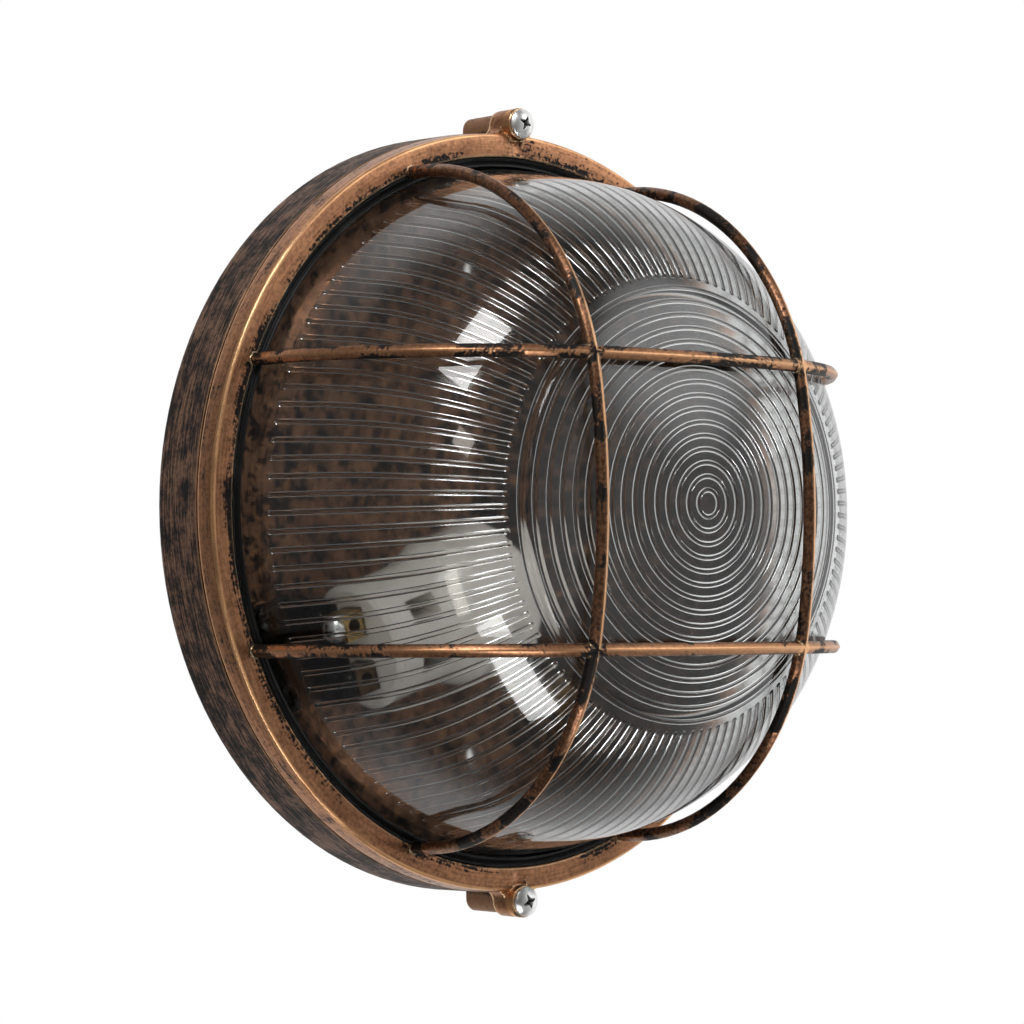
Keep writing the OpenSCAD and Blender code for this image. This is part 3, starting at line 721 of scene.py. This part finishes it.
# Gasket: grips the rim of the glass, with a groove and a bead along its front

rimSeal = {"turns": 180, "section": [   # in mm, from the guard's face
    (80.75, -8.5), (87.9, -8.5), (88.2, -8.2), (88.2, -2.6), (85.15, -2.6), (85.15, -0.5), (84.95, -0.22), (84.6, -0.3),
    (84.2, -0.75), (83.85, -0.95), (83.6, -0.75), (83.5, -0.35), (83.3, -0.12), (83.05, -0.06), (82.85, -0.2),
    (82.8, -0.6), (83.4, -3.35), (86.25, -3.35), (86.25, -6.9), (80.75, -6.9)]}


def makeSeal(look):
    turns = np.linspace(0, 2 * math.pi, look["turns"] + 1)
    section = look["section"] + look["section"][:1]
    seal = closeSheet(spunSheet([(turns, r / 1000, z / 1000 + wallToFace) for r, z in section]))
    smooth(seal, 40)
    return named(seal, "rimSeal")


install(makeSeal(rimSeal), "rubber", "cover", "glass_gasket")
print("seal made")


# Cover screws: domed head with a cross recess, rolled thread

coverScrew = {
    "head": 0.0035, "headHigh": 0.002, "edge": 0.0006, "shank": 0.00175, "under": 0.02285, "tip": 0.007,
    "pitch": 0.0008, "thread": 0.00024, "recess": 0.0022, "recessInner": 0.00062, "tipWide": 0.0004,
    "recessDeep": 0.0017, "offset": 0.0932,
}
screwTurns = {                          # piece, turn of its head in degrees, side
    "cover_screw_top": ("coverScrewTop", 24, 1), "cover_screw_bottom": ("coverScrewBottom", 68, -1),
}


def starCutter(look):                   # four tapered wings
    tip, half, inner = look["recess"], look["tipWide"] / 2, look["recessInner"]
    arm = np.array([(tip, -half), (tip, half), (inner, inner)])
    turn = np.array([(0, 1), (-1, 0)])
    outline = np.concatenate([arm, arm @ turn, arm @ turn @ turn, arm @ turn @ turn @ turn, arm[:1]])
    top = look["under"] + look["headHigh"]
    rows = [(top + 0.0003, 1.08), (top - look["recessDeep"] * 0.7, 0.55), (top - look["recessDeep"], 0.3)]
    points = np.array([[(x * k, -depth, z * k) for x, z in outline] for depth, k in rows])
    return closeSheet(gridSheet(points), ends=True)


def makeScrew(look):
    turns = np.linspace(0, 2 * math.pi, 33)
    rows = [(turns, 0.0, look["tip"]), (turns, look["shank"] * 0.55, look["tip"])]
    for depth in np.arange(look["tip"] + 0.0005, look["under"] - 0.0012, look["pitch"] / 6):
        groove = np.abs(2 * np.mod(depth / look["pitch"] - turns / (2 * math.pi), 1.0) - 1)
        rows.append((turns, look["shank"] - look["thread"] * groove, depth))
    crown = look["headHigh"] - look["edge"]
    ball = (look["head"] ** 2 + crown ** 2) / (2 * crown)
    top = look["under"] + look["headHigh"]
    rows += [(turns, look["shank"], look["under"] - 0.0008), (turns, look["shank"], look["under"]),
             (turns, look["head"] - 0.0002, look["under"]), (turns, look["head"], look["under"] + 0.0002)]
    for r in look["head"] * np.sin(np.linspace(math.pi / 2, 0, 9))[:-1]:
        rows.append((turns, r, top - ball + math.sqrt(ball ** 2 - r ** 2)))
    rows.append((turns, 0.0, top))
    screw = closeSheet(spunSheet(rows))
    combine(screw, starCutter(look), "DIFFERENCE")
    smooth(screw, 35)
    return screw


pattern = makeScrew(coverScrew)
for node, (name, turn, side) in screwTurns.items():
    screw = named(copyOf(pattern, turn, side * coverScrew["offset"]), name)
    install(screw, "zinc", "cover", node)
bpy.data.objects.remove(pattern)
print("cover screws made")


# Screw shell of the lampholder: rolled thread

rolledShell = {
    "start": (-0.055, -0.028, -0.032), "way": (0.95372, 0.0, 0.30071), "floor": 0.023, "neckEnd": 0.0287,
    "threadStart": 0.0297, "threadEnd": 0.0402, "runOut": 0.0012, "mouth": 0.041, "hole": 0.0102, "neck": 0.0126,
    "middle": 0.0135, "wave": 0.0003, "thick": 0.0004, "pitch": 0.0036,
}


def aim(piece, start, way):             # turns the lamp's axis to run from start along way
    y = -Vector(way).normalized()
    x = Vector((0, 1, 0))
    x = (x - y * x.dot(y)).normalized()
    piece.matrix_world = Matrix.Translation(Vector(start)) @ Matrix((x, y, x.cross(y))).transposed().to_4x4()
    pick(piece)
    bpy.ops.object.transform_apply(location=True, rotation=True, scale=True)


def makeShell(look):
    turns = np.linspace(0, 2 * math.pi, 65)
    half = look["thick"] / 2

    def threaded(side):
        rows = []
        for depth in np.linspace(look["threadStart"], look["threadEnd"], 26):
            nearest = min(depth - look["threadStart"], look["threadEnd"] - depth)
            ends = min(1.0, nearest / look["runOut"])
            wave = look["wave"] * np.sin(2 * math.pi * (depth / look["pitch"]) - turns) * ends
            rows.append((turns, look["middle"] + wave + side * half, depth))
        return rows

    inner = [(turns, look["hole"], look["floor"]), (turns, look["hole"], look["floor"] + look["thick"]),
             (turns, look["neck"] - 0.0004, look["floor"] + look["thick"]),
             (turns, look["neck"], look["floor"] + 0.0009), (turns, look["neck"], look["neckEnd"])]
    lip = [(turns, look["middle"] - half, look["mouth"] - 0.0002), (turns, look["middle"], look["mouth"]),
           (turns, look["middle"] + half, look["mouth"] - 0.0002)]
    outer = [(turns, look["neck"] + look["thick"], look["neckEnd"] + 0.0003),
             (turns, look["neck"] + look["thick"], look["floor"] + 0.0006),
             (turns, look["neck"] - 0.0002, look["floor"]), (turns, look["hole"], look["floor"])]
    shell = closeSheet(spunSheet(inner + threaded(-1) + lip + threaded(1)[::-1] + outer))
    aim(shell, look["start"], look["way"])
    smooth(shell, 50)
    return named(shell, "rolledShell")


install(makeShell(rolledShell), "agedAndShadedBrass", "housing", "screw_shell")
print("screw shell made")


# Floor, light and camera

studio = {
    "floor": -0.3, "floorSize": 1.9, "floorColour": (0.86, 0.86, 0.86), "floorSeen": 0.86,
    "front": 0.09, "behind": 0.85, "room": 0.36, "seenFront": 0.10, "seenBehind": 0.70, "seenRoom": 0.5,
    "key": 2.0, "keyAzimuth": 42, "keyElevation": 29, "roomElevation": -8, "fill": 0.40, "keyFill": 0.8,
    "viewWay": (0.664, 0.747, 0.033), "boxesRound": (-0.05, -0.05, 0), "boxesApart": 1.2,
}
white = (1.0, 1.0, 1.0)
warmWhite = (1.0, 0.94, 0.86)
softboxes = {                           # towards, along, size, radiance, tint
    "overhead": ((-0.434, -0.487, 0.758), (0.0925, -0.272, -0.1185), (0.36, 0.52), 10.0, white),
    "below": ((-0.217, -0.647, -0.73), (0.4755, 0.2085, -0.3265), (0.74, 0.30), 8.0, white),
    "upperTail": ((-0.62, -0.72, 0.33), (0.10, -0.272, -0.1185), (0.2, 0.12), 4.0, warmWhite),
    "lowerTail": ((-0.65, -0.62, -0.44), (0.4755, 0.2085, -0.3265), (0.28, 0.14), 4.0, warmWhite),
}
photoCamera = {                         # angles in degrees, focal length and middle in pixels of the frame
    "azimuth": -41.593, "elevation": -1.907, "roll": -0.274, "distance": 0.813064, "focal": 3387.176,
    "middle": (518.005, 511.419), "frame": 1024, "sensor": 36.0,
}


def direction(azimuth, elevation):      # from the light, in degrees
    a, e = math.radians(azimuth), math.radians(elevation)
    return Vector((math.sin(a) * math.cos(e), -math.cos(a) * math.cos(e), math.sin(e)))


def rayKinds(tree, *names):
    rays = tree.nodes.new("ShaderNodeLightPath")
    return [Wire(tree, rays.outputs[name]) for name in names]


def makeFloor(look):
    deselect()
    bpy.ops.mesh.primitive_plane_add(size=look["floorSize"], location=(0, 0, look["floor"]))
    floor = bpy.context.object
    floor.name = "floor"
    material, shader, place = startMaterial("paleFloor")
    link(shader, "Base Color", colour(look["floorColour"]))
    link(shader, "Roughness", 0.8)
    tree = material.node_tree
    camera, glossy, through = rayKinds(tree, "Is Camera Ray", "Is Glossy Ray", "Is Transmission Ray")
    seen = camera.most(glossy).most(through)
    glow = seen.node("Emission", {"Color": colour(white), "Strength": 1.0})
    x, y, z = place.split()
    apart = ((x * x + y * y) ** 0.5).fade(0.35, 0.85)       # runs out into the white background
    share = seen * (look["floorSeen"] + apart * (1 - look["floorSeen"]))
    both = seen.node("MixShader", {0: share, 1: Wire(tree, shader.outputs[0]), 2: glow})
    tree.links.new(both.socket, tree.nodes["Material Output"].inputs["Surface"])
    floor.data.materials.append(material)
    floor.visible_glossy = False        # the glass shows the studio, not the floor
    floor.visible_transmission = False


def makeWorld(look):                    # mirrored in the metal, seen through the glass, and as fill on dull faces
    world = bpy.data.worlds.new("studio")
    bpy.context.scene.world = world
    world.use_nodes = True
    tree = world.node_tree
    background = tree.nodes["Background"]
    camera, seen = rayKinds(tree, "Is Camera Ray", "Is Transmission Ray")
    diffuse, bounces = rayKinds(tree, "Is Diffuse Ray", "Diffuse Depth")
    towards = Wire(tree, tree.nodes.new("ShaderNodeTexCoord").outputs["Generated"])
    back = towards.dot(look["viewWay"])
    key = towards.dot(direction(look["keyAzimuth"], look["keyElevation"])).fade(0.92, 0.985)
    room = towards.dot(direction(look["keyAzimuth"], look["roomElevation"]))
    mirrored = look["front"] + room.fade(0.50, 0.95) * look["room"]
    mirrored = mirrored + back.fade(0.0, 0.5) * (look["behind"] - look["front"]) + key * look["key"]
    through = look["seenFront"] + room.fade(0.2, 0.85) * look["seenRoom"]
    through = through + back.fade(0.0, 0.85) * (look["seenBehind"] - look["seenFront"]) + key * look["key"] * 0.5
    below = (0.0 - towards.split()[2]).fade(0.1, 0.6)
    through = through * (1.0 - below * 0.5)                 # the floor side is duller
    fill = look["fill"] + key * look["keyFill"]
    lit = bounces.most(diffuse).fade(0.2, 0.8)
    level = mirrored * (1.0 - seen) + through * seen
    level = (level * (1.0 - lit) + fill * lit).most(camera)
    tree.links.new(level.socket, background.inputs["Strength"])
    background.inputs["Color"].default_value = colour(white)


def makeSoftbox(look, name, towards, along, size, radiance, tint):
    z = Vector(towards).normalized()
    x = (Vector(along) - z * z.dot(Vector(along))).normalized()
    data = bpy.data.lights.new(name, "AREA")
    data.shape = "RECTANGLE"
    data.size, data.size_y = size
    data.color = tint
    data.energy = radiance * math.pi * size[0] * size[1]
    lamp = bpy.data.objects.new(name, data)
    bpy.context.scene.collection.objects.link(lamp)
    turn = Matrix((x, z.cross(x), z)).transposed().to_4x4()
    lamp.matrix_world = Matrix.Translation(Vector(look["boxesRound"]) + z * look["boxesApart"]) @ turn


def makeCamera(look):
    back = direction(look["azimuth"], look["elevation"])
    a, r = math.radians(look["azimuth"]), math.radians(look["roll"])
    right = Vector((math.cos(a), math.sin(a), 0.0))
    up = back.cross(right)
    right, up = right * math.cos(r) + up * math.sin(r), up * math.cos(r) - right * math.sin(r)
    data = bpy.data.cameras.new("camera")
    data.sensor_width = look["sensor"]
    data.lens = look["focal"] / look["frame"] * look["sensor"]
    data.shift_x = (look["frame"] / 2 - look["middle"][0]) / look["frame"]
    data.shift_y = (look["middle"][1] - look["frame"] / 2) / look["frame"]
    camera = bpy.data.objects.new("camera", data)
    bpy.context.scene.collection.objects.link(camera)
    turn = Matrix((right, up, back)).transposed().to_4x4()
    camera.matrix_world = Matrix.Translation(Vector((0, -wallToFace, 0)) + back * look["distance"]) @ turn
    bpy.context.scene.camera = camera


makeFloor(studio)
makeWorld(studio)
for name, settings in softboxes.items():
    makeSoftbox(studio, name, *settings)
makeCamera(photoCamera)
bpy.context.scene.view_settings.view_transform = "Standard"
print("studio set")
